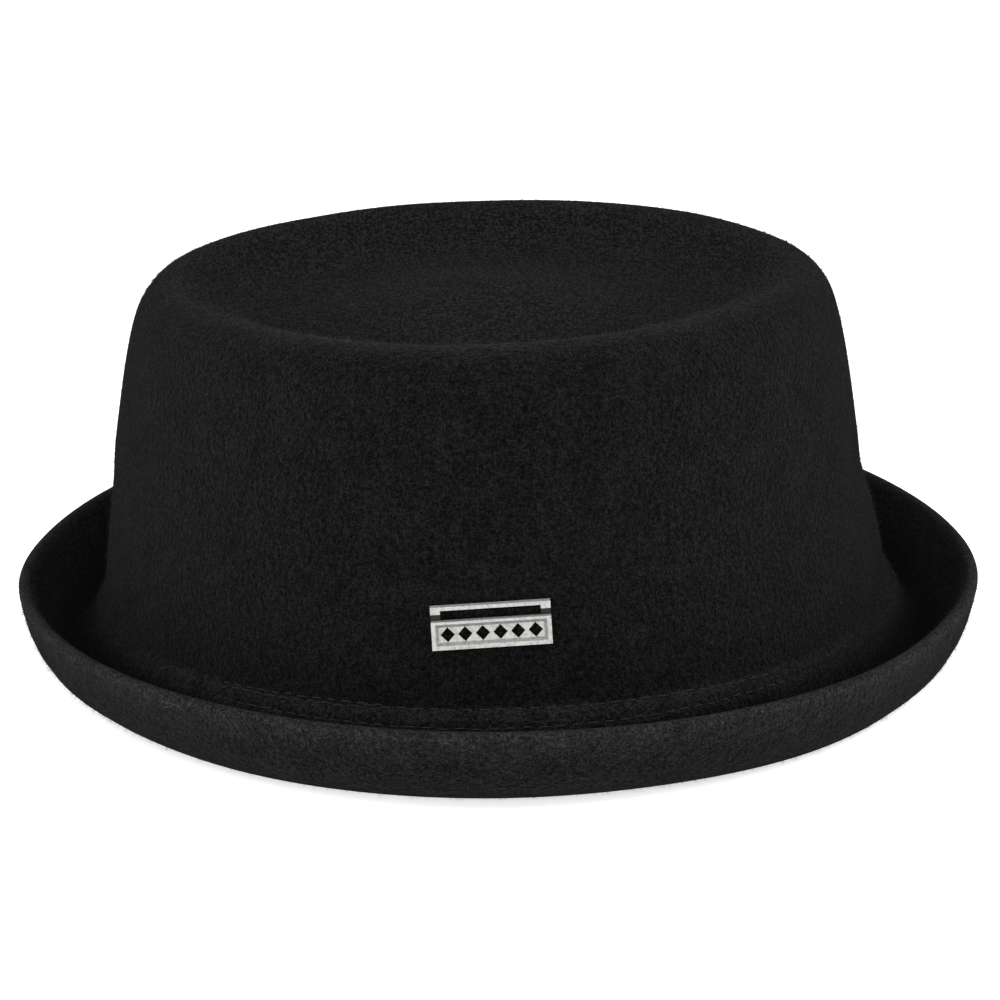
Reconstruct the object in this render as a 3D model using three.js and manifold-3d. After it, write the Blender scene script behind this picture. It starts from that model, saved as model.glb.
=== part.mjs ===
// A black wool felt porkpie hat, lying on its brim: a dished crown and a short brim curled up all round,
// blocked in one piece from one felt, with a cast metal badge pinned to the front of the crown.
// Millimetres, +Z up. X runs from ear to ear, Y from the front (-Y, the badge side) to the back.
// The origin is on the resting plane, under the middle of the brim.

import * as THREE from "three";
import { mergeVertices } from "three/addons/utils/BufferGeometryUtils.js";
import Module from "manifold-3d";

// The felt
const feltWall = 2.8;            // thickness of the felt, everywhere
const crownWidth = 176;          // over the foot of the crown wall, ear to ear
const crownLength = 214;         // the same, front to back
const hatHeight = 81.6;          // resting plane to the crest of the rim
const crestInsetSide = 19.5;     // how far the crest stands in from the foot of the wall, at the ears
const crestInsetEnd = 18;        // the same, at front and back
const dishDepth = 8.6;           // crest down to the lowest ring of the dished top
const footHeightSide = 13.5;     // resting plane to the foot of the wall, where the brim flares out
const footHeightEnd = 16;
const brimReachSide = 16.8;      // foot of the wall out to the brim's edge, at the ears
const brimReachEnd = 20.4;       // the same, at front and back
const brimRiseFront = 15;        // resting plane to the brim's edge at the front
const brimRiseSide = 14.4;
const brimRiseBack = 19.4;
const restPress = 0.5;           // how far its weight presses the brim's lowest ring flat
const crownShift = -3;           // the crown sits a little to one side of the brim's middle
const crownLean = THREE.MathUtils.degToRad(0.9);   // and leans a little to that side

// The badge
const badgeWidth = 23.2;
const badgeHeight = 8.6;
const badgeThickness = 1.8;
const badgeCentreHeight = 29.7;  // resting plane to the badge's centre
const badgeTilt = THREE.MathUtils.degToRad(3.2);
const badgePress = 0.7;          // how deep the badge is pulled into the felt
const badgePanelHeight = 5.7;    // the framed lower panel
const badgeFrame = 1.4;          // width of the panel's frame with its bevel
const badgeBevel = 0.6;          // width of the bevel round the panel's window
const badgeSlope = 0.3;          // how far the upper edges of the panel and bar fall back towards the front
const badgeWeb = 0.7;            // thickness of the panel's pierced web and of the lower ends of the two legs
const badgeBar = 1.0;            // height of the top bar
const badgeBlockWidth = 1.9;     // the solid blocks at the ends of the top bar
const badgeBlockHeight = 1.7;
const lozengeCount = 6;
const lozengeRib = 0.6;          // metal left between two lozenges
const pinDiameter = 1.1;
const backingMargin = 2;         // backing bar past each pin
const backingHeight = 4.5;
const backingThickness = 0.8;
const gap = 0.3;                 // clearance between separate pieces

// How finely the surfaces are divided
const stepsRound = 52;
const stepsPerSpan = 2;
const stepsRoundEdge = 4;
const stepsRoundPin = 12;

// The section of the top, from the middle to the crest: "out" is a share of the way from the middle to the
// crest, "drop" a share of the dish's depth below the crest.
const topRows = [
  { out: 0.0, drop: 0.68 },
  { out: 0.17, drop: 0.73 },
  { out: 0.36, drop: 0.90 },
  { out: 0.54, drop: 1.0 },
  { out: 0.70, drop: 0.95 },
  { out: 0.83, drop: 0.62 },
  { out: 0.93, drop: 0.17 },
  { out: 1.0, drop: 0.0 },
];

// The section of the rim and wall: "down" is a share of the height from the crest to the foot, "out" a share of
// the crest's inset, "shift" how much of the crown's sideways shift the row takes.
const wallRows = [
  { down: 0.015, out: 0.20, shift: 1.0 },
  { down: 0.055, out: 0.35, shift: 1.0 },
  { down: 0.12, out: 0.46, shift: 1.0 },
  { down: 0.27, out: 0.58, shift: 1.0 },
  { down: 0.52, out: 0.72, shift: 1.0 },
  { down: 0.66, out: 0.78, shift: 0.9 },
  { down: 0.80, out: 0.89, shift: 0.55 },
  { down: 0.92, out: 0.965, shift: 0.38 },
  { down: 1.0, out: 1.0, shift: 0.32 },
];

// The section of the brim: "out" is a share of its reach, "up" a share of the foot's height in the flare, and of
// the edge's rise in the curl, above the lowest ring; "lean" is how much of the crown's lean the row takes.
const flareRows = [
  { out: 0.03, up: 0.86, shift: 0.3, lean: 1.0 },
  { out: 0.13, up: 0.62, shift: 0.2, lean: 1.0 },
  { out: 0.25, up: 0.22, shift: 0.1, lean: 0.4 },
  { out: 0.38, up: 0.0, shift: 0.0, lean: 0.0 },
];
const curlRows = [
  { out: 0.58, up: 0.0, shift: 0.0, lean: 0.0 },
  { out: 0.80, up: 0.19, shift: 0.0, lean: 0.0 },
  { out: 0.93, up: 0.55, shift: 0.0, lean: 0.0 },
  { out: 1.0, up: 1.0, shift: 0.0, lean: 0.0 },
];

const valleyHeight = feltWall - restPress;   // upper face of the lowest ring

// The rows of one section, as distance from the crown's middle and height: at the ears, front or back.
function sectionPoints({ halfSize, crestInset, footHeight, brimReach, brimRise }) {
  const crest = halfSize - crestInset;
  const wallHeight = hatHeight - footHeight;
  const points = [];
  for (const row of topRows) {
    points.push(new THREE.Vector2(crest * row.out, hatHeight - dishDepth * row.drop));
  }
  for (const row of wallRows) {
    points.push(new THREE.Vector2(crest + crestInset * row.out, hatHeight - wallHeight * row.down));
  }
  for (const row of flareRows) {
    const up = (footHeight - valleyHeight) * row.up;
    points.push(new THREE.Vector2(halfSize + brimReach * row.out, valleyHeight + up));
  }
  for (const row of curlRows) {
    const up = (brimRise - valleyHeight) * row.up;
    points.push(new THREE.Vector2(halfSize + brimReach * row.out, valleyHeight + up));
  }
  return points;
}

const sideSizes = { halfSize: crownWidth / 2, crestInset: crestInsetSide, footHeight: footHeightSide,
  brimReach: brimReachSide, brimRise: brimRiseSide };
const endSizes = { halfSize: crownLength / 2, crestInset: crestInsetEnd, footHeight: footHeightEnd,
  brimReach: brimReachEnd };
const sideCurve = new THREE.SplineCurve(sectionPoints(sideSizes));
const frontCurve = new THREE.SplineCurve(sectionPoints({ ...endSizes, brimRise: brimRiseFront }));
const backCurve = new THREE.SplineCurve(sectionPoints({ ...endSizes, brimRise: brimRiseBack }));
const spanCount = sideCurve.points.length - 1;
const shiftByRow = [...topRows.map(() => 1), ...[...wallRows, ...flareRows, ...curlRows].map((row) => row.shift)];
const leanByRow = [...topRows.map(() => 1), ...wallRows.map(() => 1),
  ...[...flareRows, ...curlRows].map((row) => row.lean)];

// A value given row by row, at a share of the way along the section.
function valueAlong(byRow, along) {
  const place = along * spanCount;
  const row = Math.min(Math.floor(place), spanCount - 1);
  return THREE.MathUtils.lerp(byRow[row], byRow[row + 1], place - row);
}

// A point of the felt's upper face: an oval ring whose ear and end sections are blended round it.
function feltPoint(along, angle) {
  const side = sideCurve.getPoint(along);
  const end = (Math.sin(angle) < 0 ? frontCurve : backCurve).getPoint(along);
  const x = side.x * Math.cos(angle);
  const z = THREE.MathUtils.lerp(side.y, end.y, Math.sin(angle) ** 2);
  const shift = valueAlong(shiftByRow, along) * crownShift;
  const lift = valueAlong(leanByRow, along) * x * Math.tan(crownLean);
  return new THREE.Vector3(x + shift, end.x * Math.sin(angle), z + lift);
}

// The direction out of the felt's upper face, and the direction along the section towards the brim's edge.
function feltDirections(along, angle) {
  const step = 0.002;
  const near = Math.max(along - step, step);
  const far = Math.min(along + step, 1);
  const outward = feltPoint(far, angle).sub(feltPoint(near, angle)).normalize();
  const round = feltPoint(Math.max(along, step), angle + step).sub(feltPoint(Math.max(along, step), angle - step));
  const normal = new THREE.Vector3().crossVectors(outward, round).normalize();
  return { outward, normal };
}

// The felt as one closed skin: the upper face from the middle to the edge, round the edge, and the under face back
// to the middle. The under face is pressed flat where it would reach below the resting plane.
function feltGeometry() {
  const ringCount = spanCount * stepsPerSpan;
  const rings = [];
  for (let ring = 1; ring <= ringCount; ring += 1) {
    rings.push({ along: ring / ringCount, turn: 0 });
  }
  for (let step = 1; step < stepsRoundEdge; step += 1) {
    rings.push({ along: 1, turn: (Math.PI * step) / stepsRoundEdge });
  }
  for (let ring = ringCount; ring >= 1; ring -= 1) {
    rings.push({ along: ring / ringCount, turn: Math.PI });
  }
  const middle = feltPoint(0, 0);
  const positions = [middle.x, middle.y, middle.z];
  for (const { along, turn } of rings) {
    for (let step = 0; step < stepsRound; step += 1) {
      const angle = (2 * Math.PI * step) / stepsRound;
      const { outward, normal } = feltDirections(along, angle);
      const point = feltPoint(along, angle)
        .addScaledVector(normal, (feltWall / 2) * (Math.cos(turn) - 1))
        .addScaledVector(outward, (feltWall / 2) * Math.sin(turn));
      positions.push(point.x, point.y, Math.max(point.z, 0));
    }
  }
  positions.push(middle.x, middle.y, middle.z - feltWall);
  const last = positions.length / 3 - 1;
  const faces = [];
  const corner = (ring, step) => 1 + ring * stepsRound + (step % stepsRound);
  for (let step = 0; step < stepsRound; step += 1) {
    faces.push(0, corner(0, step), corner(0, step + 1));
    faces.push(last, corner(rings.length - 1, step + 1), corner(rings.length - 1, step));
    for (let ring = 0; ring < rings.length - 1; ring += 1) {
      const a = corner(ring, step);
      const b = corner(ring + 1, step);
      const c = corner(ring + 1, step + 1);
      const d = corner(ring, step + 1);
      faces.push(a, b, c, a, c, d);
    }
  }
  const geometry = new THREE.BufferGeometry();
  geometry.setAttribute("position", new THREE.Float32BufferAttribute(positions, 3));
  geometry.setIndex(faces);
  return geometry;
}

const wasm = await Module();
wasm.setup();

function toSolid(geometry) {
  const bare = geometry.clone();
  bare.deleteAttribute("normal");
  bare.deleteAttribute("uv");
  const merged = mergeVertices(bare, 1e-5);
  const mesh = new wasm.Mesh({
    numProp: 3,
    vertProperties: new Float32Array(merged.attributes.position.array),
    triVerts: new Uint32Array(merged.index.array),
  });
  return new wasm.Manifold(mesh);
}

function toGeometry(solid) {
  const mesh = solid.getMesh();
  const geometry = new THREE.BufferGeometry();
  geometry.setAttribute("position", new THREE.Float32BufferAttribute(mesh.vertProperties, 3));
  geometry.setIndex(Array.from(mesh.triVerts));
  geometry.computeVertexNormals();
  return geometry;
}

// The place along the section, at one angle, where the wall reaches a height.
function alongAtHeight(height, angle) {
  let high = (topRows.length - 1) / spanCount;
  let low = (topRows.length + wallRows.length - 1) / spanCount;
  for (let step = 0; step < 40; step += 1) {
    const tried = (high + low) / 2;
    if (feltPoint(tried, angle).z > height) {
      high = tried;
    } else {
      low = tried;
    }
  }
  return (high + low) / 2;
}

// The badge's own frame: X across it, Y up it, Z out of the felt, with its back at Z = 0.
function badgeFrameMatrix() {
  const angle = -Math.PI / 2;
  const along = alongAtHeight(badgeCentreHeight, angle);
  const { normal } = feltDirections(along, angle);
  const across = new THREE.Vector3(1, 0, 0);
  across.addScaledVector(normal, -across.dot(normal)).normalize();
  across.applyAxisAngle(normal, badgeTilt);
  const up = new THREE.Vector3().crossVectors(normal, across);
  const place = feltPoint(along, angle).addScaledVector(normal, gap - badgePress);
  return new THREE.Matrix4().makeBasis(across, up, normal).setPosition(place);
}

const badgeMatrix = badgeFrameMatrix();

function rectangle(x0, y0, x1, y1) {
  return new THREE.Shape([new THREE.Vector2(x0, y0), new THREE.Vector2(x1, y0), new THREE.Vector2(x1, y1),
    new THREE.Vector2(x0, y1)]);
}

function slab(shape, bottom, top) {
  const geometry = new THREE.ExtrudeGeometry(shape, { depth: top - bottom, bevelEnabled: false });
  return toSolid(geometry.translate(0, 0, bottom));
}

// A solid whose cross-section is a rectangle at each of a few heights, given from the back to the front.
function taperedBlock(sections) {
  const corners = sections.flatMap(({ z, left, bottom, right, top }) => [
    [left, bottom, z], [right, bottom, z], [right, top, z], [left, top, z],
  ]);
  return wasm.Manifold.hull(corners);
}

// A bar of the badge's full thickness whose upper edge slopes back towards the front.
function slopedBar(left, bottom, right, top) {
  return taperedBlock([
    { z: 0, left, bottom, right, top },
    { z: badgeWeb, left, bottom, right, top },
    { z: badgeThickness, left, bottom, right, top: top - badgeSlope },
  ]);
}

function pin(x, y, bottom, top, diameter) {
  const geometry = new THREE.CylinderGeometry(diameter / 2, diameter / 2, top - bottom, stepsRoundPin);
  return toSolid(geometry.rotateX(Math.PI / 2).translate(x, y, (top + bottom) / 2));
}

const badgeLeft = -badgeWidth / 2;
const badgeRight = badgeWidth / 2;
const badgeBottom = -badgeHeight / 2;
const badgeTop = badgeHeight / 2;
const panelTop = badgeBottom + badgePanelHeight;
const pinHeight = (badgeBottom + panelTop) / 2;
const pinAcross = (badgeWidth - badgeFrame) / 2;
const pinPlaces = [-pinAcross, pinAcross];
const frontRadius = (crownWidth / 2) ** 2 / (crownLength / 2);        // how round the crown is at the front
const backingHalfWidth = pinAcross + backingMargin;
const backingSag = backingHalfWidth ** 2 / (2 * (frontRadius - feltWall));
const backingTop = badgePress - feltWall - backingSag - 2 * gap;      // in the badge's own frame
const pinEnd = backingTop - backingThickness - gap;

// A framed lower panel with a bevelled window, whose web is pierced by a row of lozenges, and above it an open slot
// under a bar. Two end blocks carry the bar, each on a leg whose face slopes back towards the panel.
function badgeSolid() {
  const web = { left: badgeLeft + badgeFrame, right: badgeRight - badgeFrame, bottom: badgeBottom + badgeFrame,
    top: panelTop - badgeFrame };
  const mouth = { left: web.left - badgeBevel, right: web.right + badgeBevel, bottom: web.bottom - badgeBevel,
    top: web.top + badgeBevel };
  let solid = slopedBar(badgeLeft, badgeBottom, badgeRight, panelTop);
  solid = solid.subtract(taperedBlock([{ z: badgeWeb, ...web }, { z: badgeThickness, ...mouth }]));
  const pitch = (web.right - web.left) / lozengeCount;
  const middle = (web.bottom + web.top) / 2;
  for (let index = 0; index < lozengeCount; index += 1) {
    const x = web.left + pitch * (index + 0.5);
    const halfWidth = (pitch - lozengeRib) / 2;
    const lozenge = new THREE.Shape([new THREE.Vector2(x - halfWidth, middle), new THREE.Vector2(x, web.bottom),
      new THREE.Vector2(x + halfWidth, middle), new THREE.Vector2(x, web.top)]);
    solid = solid.subtract(slab(lozenge, -gap, badgeThickness));
  }
  solid = solid.add(slopedBar(badgeLeft, badgeTop - badgeBar, badgeRight, badgeTop));
  const blockBottom = badgeTop - badgeBlockHeight;
  for (const left of [badgeLeft, badgeRight - badgeBlockWidth]) {
    const right = left + badgeBlockWidth;
    solid = solid.add(slopedBar(left, blockBottom, right, badgeTop));
    solid = solid.add(taperedBlock([
      { z: 0, left, bottom: panelTop - badgeSlope, right, top: badgeTop - badgeBar },
      { z: badgeWeb / 2, left, bottom: panelTop - badgeSlope, right, top: badgeTop - badgeBar },
      { z: badgeThickness - badgeSlope, left, bottom: blockBottom, right, top: badgeTop - badgeBar },
    ]));
  }
  for (const x of pinPlaces) {
    solid = solid.add(pin(x, pinHeight, pinEnd, badgeWeb, pinDiameter));
  }
  return solid;
}

// A plain bar inside the crown that the badge's two pins go through.
function backingSolid() {
  const low = pinHeight - backingHeight / 2;
  const bar = rectangle(-backingHalfWidth, low, backingHalfWidth, low + backingHeight);
  let solid = slab(bar, backingTop - backingThickness, backingTop);
  for (const x of pinPlaces) {
    solid = solid.subtract(pin(x, pinHeight, pinEnd, backingTop + gap, pinDiameter + 2 * gap));
  }
  return solid;
}

// The felt with a flat seat pressed under the badge and two holes for its pins.
function feltSolid() {
  const seat = slab(rectangle(badgeLeft - gap, badgeBottom - gap, badgeRight + gap, badgeTop + gap), -gap,
    badgeThickness);
  let solid = toSolid(feltGeometry()).subtract(seat.transform(badgeMatrix.elements));
  for (const x of pinPlaces) {
    const hole = pin(x, pinHeight, pinEnd, badgeThickness, pinDiameter + 2 * gap);
    solid = solid.subtract(hole.transform(badgeMatrix.elements));
  }
  return solid;
}

const blackFelt = new THREE.MeshStandardMaterial({ color: 0x1b1b1d, roughness: 0.95, metalness: 0 });
const castMetal = new THREE.MeshStandardMaterial({ color: 0xc9cacd, roughness: 0.3, metalness: 1 });
const plainSteel = new THREE.MeshStandardMaterial({ color: 0x8f9194, roughness: 0.45, metalness: 1 });

const hat = new THREE.Group();

const felt = new THREE.Mesh(toGeometry(feltSolid()), blackFelt);
felt.name = "felt_body";
hat.add(felt);

const badgeGroup = new THREE.Group();
badgeGroup.applyMatrix4(badgeMatrix);
const badge = new THREE.Mesh(toGeometry(badgeSolid()), castMetal);
badge.name = "badge";
badgeGroup.add(badge);
const backing = new THREE.Mesh(toGeometry(backingSolid()), plainSteel);
backing.name = "badge_backing";
badgeGroup.add(backing);
hat.add(badgeGroup);

export default hat;
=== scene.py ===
# A black wool felt porkpie hat lying on its brim, on a plain pale table in soft studio light.
# The felt is worked out as a fine surface from the same sections as the solid, then gets its seams, thread,
# fuzz and lint. The badge and its backing are the solids themselves, with softened edges.
import math

import bmesh
import bpy
import numpy as np
from mathutils import Matrix, Vector


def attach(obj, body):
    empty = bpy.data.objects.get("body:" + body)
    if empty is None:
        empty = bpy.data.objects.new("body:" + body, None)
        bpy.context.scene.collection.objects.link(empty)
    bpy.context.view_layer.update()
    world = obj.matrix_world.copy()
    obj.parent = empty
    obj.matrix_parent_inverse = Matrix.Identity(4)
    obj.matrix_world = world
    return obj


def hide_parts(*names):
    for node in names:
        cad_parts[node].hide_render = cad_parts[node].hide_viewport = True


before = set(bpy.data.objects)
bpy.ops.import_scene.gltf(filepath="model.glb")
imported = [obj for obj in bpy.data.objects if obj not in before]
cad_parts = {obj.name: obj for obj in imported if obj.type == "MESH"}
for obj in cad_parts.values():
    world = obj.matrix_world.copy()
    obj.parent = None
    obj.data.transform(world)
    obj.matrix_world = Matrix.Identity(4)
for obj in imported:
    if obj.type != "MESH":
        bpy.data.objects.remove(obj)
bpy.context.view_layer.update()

mm = 0.001
imageSize = 1000         # pixels, both ways


# Camera: where the photograph was taken from, found from the hat's outline
camera = {
    "distance": 0.668,             # metres, from the point it looks at
    "elevation": 14.61,            # degrees above the table
    "roll": -0.48,                 # degrees
    "lookAt": (0.00015, 0.0, 0.0271),
    "focalPixels": 2938.2,         # focal length in pixels of the 1000 pixel image
    "sensor": 36.0,
    "clipStart": 0.01,
}


def cameraAxes():
    # right, up and backward directions of the camera, from its elevation and roll
    elevation, roll = math.radians(camera["elevation"]), math.radians(camera["roll"])
    backward = np.array([0.0, -math.cos(elevation), math.sin(elevation)])
    level = np.array([1.0, 0.0, 0.0])
    upright = np.array([0.0, math.sin(elevation), math.cos(elevation)])
    right = level * math.cos(roll) + upright * math.sin(roll)
    up = upright * math.cos(roll) - level * math.sin(roll)
    return right, up, backward


def makeCamera():
    right, up, backward = cameraAxes()
    place = np.array(camera["lookAt"]) + backward * camera["distance"]
    lens = bpy.data.cameras.new("viewCamera")
    lens.sensor_width = camera["sensor"]
    lens.lens = camera["focalPixels"] / imageSize * camera["sensor"]
    lens.clip_start = camera["clipStart"]
    eye = bpy.data.objects.new("viewCamera", lens)
    bpy.context.scene.collection.objects.link(eye)
    turn = Matrix([[right[i], up[i], backward[i], place[i]] for i in range(3)] + [[0, 0, 0, 1]])
    eye.matrix_world = turn
    bpy.context.scene.camera = eye
    return place


def toPixels(points):
    # places in the image of an array of points in metres: the pinhole formula, focal length in pixels
    right, up, backward = cameraAxes()
    offset = points - (np.array(camera["lookAt"]) + backward * camera["distance"])
    depth = -(offset @ backward)
    across = imageSize / 2 + camera["focalPixels"] * (offset @ right) / depth
    down = imageSize / 2 - camera["focalPixels"] * (offset @ up) / depth
    return np.stack([across, down], -1)


eyePlace = makeCamera()
print("camera made")


# Shared helpers
def setInput(node, name, value):
    node.inputs[name].default_value = value


def newMaterial(name):
    material = bpy.data.materials.new(name)
    material.use_nodes = True
    tree = material.node_tree
    shader = tree.nodes["Principled BSDF"]
    return material, tree, shader


def addNode(tree, kind, **settings):
    node = tree.nodes.new(kind)
    for key, value in settings.items():
        setattr(node, key, value)
    return node


def objectPlace(tree):
    return addNode(tree, "ShaderNodeTexCoord").outputs["Object"]


def noiseNode(tree, coordinates, scale, detail, roughness):
    node = addNode(tree, "ShaderNodeTexNoise")
    setInput(node, "Scale", scale)
    setInput(node, "Detail", detail)
    setInput(node, "Roughness", roughness)
    tree.links.new(coordinates, node.inputs["Vector"])
    return node.outputs["Fac"]


def rampNode(tree, source, stops):
    node = addNode(tree, "ShaderNodeValToRGB")
    ramp = node.color_ramp
    while len(ramp.elements) < len(stops):
        ramp.elements.new(0.5)
    for element, (place, tone) in zip(ramp.elements, stops):
        element.position = place
        element.color = (*tone, 1.0)
    tree.links.new(source, node.inputs["Fac"])
    return node.outputs["Color"]


def mathNode(tree, operation, first, second):
    node = addNode(tree, "ShaderNodeMath", operation=operation)
    for socket, value in zip(node.inputs, (first, second)):
        if isinstance(value, (int, float)):
            socket.default_value = value
        else:
            tree.links.new(value, socket)
    return node.outputs[0]


def weightedSum(tree, first, firstShare, second, secondShare):
    return mathNode(tree, "ADD", mathNode(tree, "MULTIPLY", first, firstShare),
                    mathNode(tree, "MULTIPLY", second, secondShare))


def attributeNode(tree, name):
    return addNode(tree, "ShaderNodeAttribute", attribute_name=name).outputs["Fac"]


def addBump(tree, shader, height, distance, strength):
    bump = addNode(tree, "ShaderNodeBump")
    setInput(bump, "Strength", strength)
    setInput(bump, "Distance", distance)
    tree.links.new(height, bump.inputs["Height"])
    tree.links.new(bump.outputs["Normal"], shader.inputs["Normal"])


def addRoughness(tree, shader, cloud, middle, swing):
    # roughness: a cloudy noise times the swing, about the middle value
    rough = mathNode(tree, "ADD", mathNode(tree, "MULTIPLY", cloud, swing), middle - swing / 2)
    tree.links.new(rough, shader.inputs["Roughness"])


def tonedMaterial(name, noise, stops, roughness):
    # a material whose tone is a noise (scale, detail, roughness) through a ramp of stops (place, grey tone)
    material, tree, shader = newMaterial(name)
    spread = noiseNode(tree, objectPlace(tree), *noise)
    tree.links.new(rampNode(tree, spread, stops), shader.inputs["Base Color"])
    setInput(shader, "Roughness", roughness)
    return material, shader


def addMesh(name, points, quads, triangles=(), smooth=True):
    # a mesh object from arrays of points in metres, four-cornered and three-cornered faces
    mesh = bpy.data.meshes.new(name)
    quads = np.asarray(quads, np.int32).reshape(-1, 4)
    triangles = np.asarray(triangles, np.int32).reshape(-1, 3)
    mesh.vertices.add(len(points))
    mesh.vertices.foreach_set("co", np.asarray(points, np.float32).ravel())
    mesh.loops.add(quads.size + triangles.size)
    mesh.loops.foreach_set("vertex_index", np.concatenate([quads.ravel(), triangles.ravel()]))
    mesh.polygons.add(len(quads) + len(triangles))
    starts = np.concatenate([np.arange(len(quads)) * 4, quads.size + np.arange(len(triangles)) * 3])
    mesh.polygons.foreach_set("loop_start", starts.astype(np.int32))
    mesh.update(calc_edges=True)
    mesh.validate()
    mesh.polygons.foreach_set("use_smooth", np.full(len(mesh.polygons), smooth))
    piece = bpy.data.objects.new(name, mesh)
    bpy.context.scene.collection.objects.link(piece)
    return piece


leastLength = 1e-12      # keeps unit from dividing by nothing


def unit(vectors):
    return vectors / np.maximum(np.linalg.norm(vectors, axis=-1, keepdims=True), leastLength)


# Felt body: all lengths in millimetres, the same sizes and sections as the solid
felt = {
    "wall": 2.8,
    "crownWidth": 176.0,
    "crownLength": 214.0,
    "hatHeight": 81.6,
    "crestInsetSide": 19.5,
    "crestInsetEnd": 18.0,
    "dishDepth": 8.6,
    "footHeightSide": 13.5,
    "footHeightEnd": 16.0,
    "brimReachSide": 16.8,
    "brimReachEnd": 20.4,
    "brimRiseFront": 15.0,
    "brimRiseSide": 14.4,
    "brimRiseBack": 19.4,
    "restPress": 0.5,
    "crownShift": -3.0,
    "crownLean": math.radians(0.9),
    "columns": 480,                # divisions round the hat
    "ringsPerSpan": 4,             # divisions between two rows of the section, upper face
    "ringsPerSpanUnder": 2,        # the same, under face
    "ringsRoundEdge": 8,
    "unevenness": 0.22,            # how far the hand-blocked felt strays from its sections
    "waves": [
        # of that unevenness: turns round the hat, radians per row, phase, share
        (2, 0.35, 0.4, 1.0),
        (3, 0.21, 1.7, 0.8),
        (5, 0.52, 2.9, 0.45),
        (7, 0.77, 0.9, 0.3),
        (11, 1.1, 4.1, 0.2),
    ],
    "calmMiddle": 4.0,             # rows over which it fades out at the middle of the top
    "calmEdge": 2.0,               # and at the brim's edge
    "swells": [
        # places where this hat bulges (or is hollow): row of the section, degrees round, spread in rows,
        # spread in degrees, height in millimetres
        (8.0, 48.0, 3.0, 26.0, 0.75),
        (12.0, 4.0, 2.2, 30.0, 0.65),
        (24.0, -27.0, 2.6, 15.0, 1.05),
        (24.0, 186.0, 2.6, 12.0, -0.55),
    ],
}

# Section of the top: share of the way to the crest, share of the dish's depth below it
topRows = [
    (0.0, 0.68), (0.17, 0.73), (0.36, 0.90), (0.54, 1.0),
    (0.70, 0.95), (0.83, 0.62), (0.93, 0.17), (1.0, 0.0),
]
# Rim and wall: share of the height down to the foot, share of the crest's inset, share of the crown's shift
wallRows = [
    (0.015, 0.20, 1.0), (0.055, 0.35, 1.0), (0.12, 0.46, 1.0), (0.27, 0.58, 1.0), (0.52, 0.72, 1.0),
    (0.66, 0.78, 0.9), (0.80, 0.89, 0.55), (0.92, 0.965, 0.38), (1.0, 1.0, 0.32),
]
# Flare and curl of the brim: share of its reach, share of the foot's height or the edge's rise, shift, lean
flareRows = [(0.03, 0.86, 0.3, 1.0), (0.13, 0.62, 0.2, 1.0), (0.25, 0.22, 0.1, 0.4), (0.38, 0.0, 0.0, 0.0)]
curlRows = [(0.58, 0.0, 0.0, 0.0), (0.80, 0.19, 0.0, 0.0), (0.93, 0.55, 0.0, 0.0), (1.0, 1.0, 0.0, 0.0)]
footRow = len(topRows) + len(wallRows) - 1
spanCount = len(topRows) + len(wallRows) + len(flareRows) + len(curlRows) - 1
shiftByRow = [1.0] * len(topRows) + [row[2] for row in wallRows + flareRows + curlRows]
leanByRow = [1.0] * (len(topRows) + len(wallRows)) + [row[3] for row in flareRows + curlRows]


def sectionRows(halfSize, crestInset, footHeight, brimReach, brimRise):
    # one section's rows as distance from the crown's middle and height
    crest = halfSize - crestInset
    valley = felt["wall"] - felt["restPress"]
    rows = [(crest * out, felt["hatHeight"] - felt["dishDepth"] * drop) for out, drop in topRows]
    wallHeight = felt["hatHeight"] - footHeight
    rows += [(crest + crestInset * out, felt["hatHeight"] - wallHeight * down) for down, out, _ in wallRows]
    rows += [(halfSize + brimReach * out, valley + (footHeight - valley) * up) for out, up, _, _ in flareRows]
    rows += [(halfSize + brimReach * out, valley + (brimRise - valley) * up) for out, up, _, _ in curlRows]
    return np.array(rows)


def throughRows(rows, place):
    # a smooth cubic curve through the rows, evenly timed, at places counted in rows
    last = len(rows) - 1
    row = np.clip(np.floor(place).astype(int), 0, last - 1)
    share = (place - row)[:, None]
    before, here = rows[np.maximum(row - 1, 0)], rows[row]
    there, after = rows[row + 1], rows[np.minimum(row + 2, last)]
    leave, arrive = (there - before) / 2, (after - here) / 2
    cubic = (2 * here - 2 * there + leave + arrive) * share ** 3
    square = (3 * there - 3 * here - 2 * leave - arrive) * share ** 2
    return cubic + square + leave * share + here


def feltPoints(place, angle):
    # upper face: oval rings whose ear, front and back sections are blended by the square of the sine
    endSizes = (felt["crownLength"] / 2, felt["crestInsetEnd"], felt["footHeightEnd"], felt["brimReachEnd"])
    side = throughRows(sectionRows(felt["crownWidth"] / 2, felt["crestInsetSide"], felt["footHeightSide"],
                                   felt["brimReachSide"], felt["brimRiseSide"]), place)
    front = throughRows(sectionRows(*endSizes, felt["brimRiseFront"]), place)
    back = throughRows(sectionRows(*endSizes, felt["brimRiseBack"]), place)
    cosine, sine = np.cos(angle), np.sin(angle)
    end = np.where((sine < 0)[..., None], front, back)
    rows = np.arange(spanCount + 1)
    x = side[..., 0] * cosine
    z = side[..., 1] + (end[..., 1] - side[..., 1]) * sine ** 2
    shift = felt["crownShift"] * np.interp(place, rows, shiftByRow)
    lift = np.interp(place, rows, leanByRow) * x * math.tan(felt["crownLean"])
    return np.stack([x + shift, end[..., 0] * sine, z + lift], -1)


slopeStep = 0.01         # rows and radians, for the slopes of the surface


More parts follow.
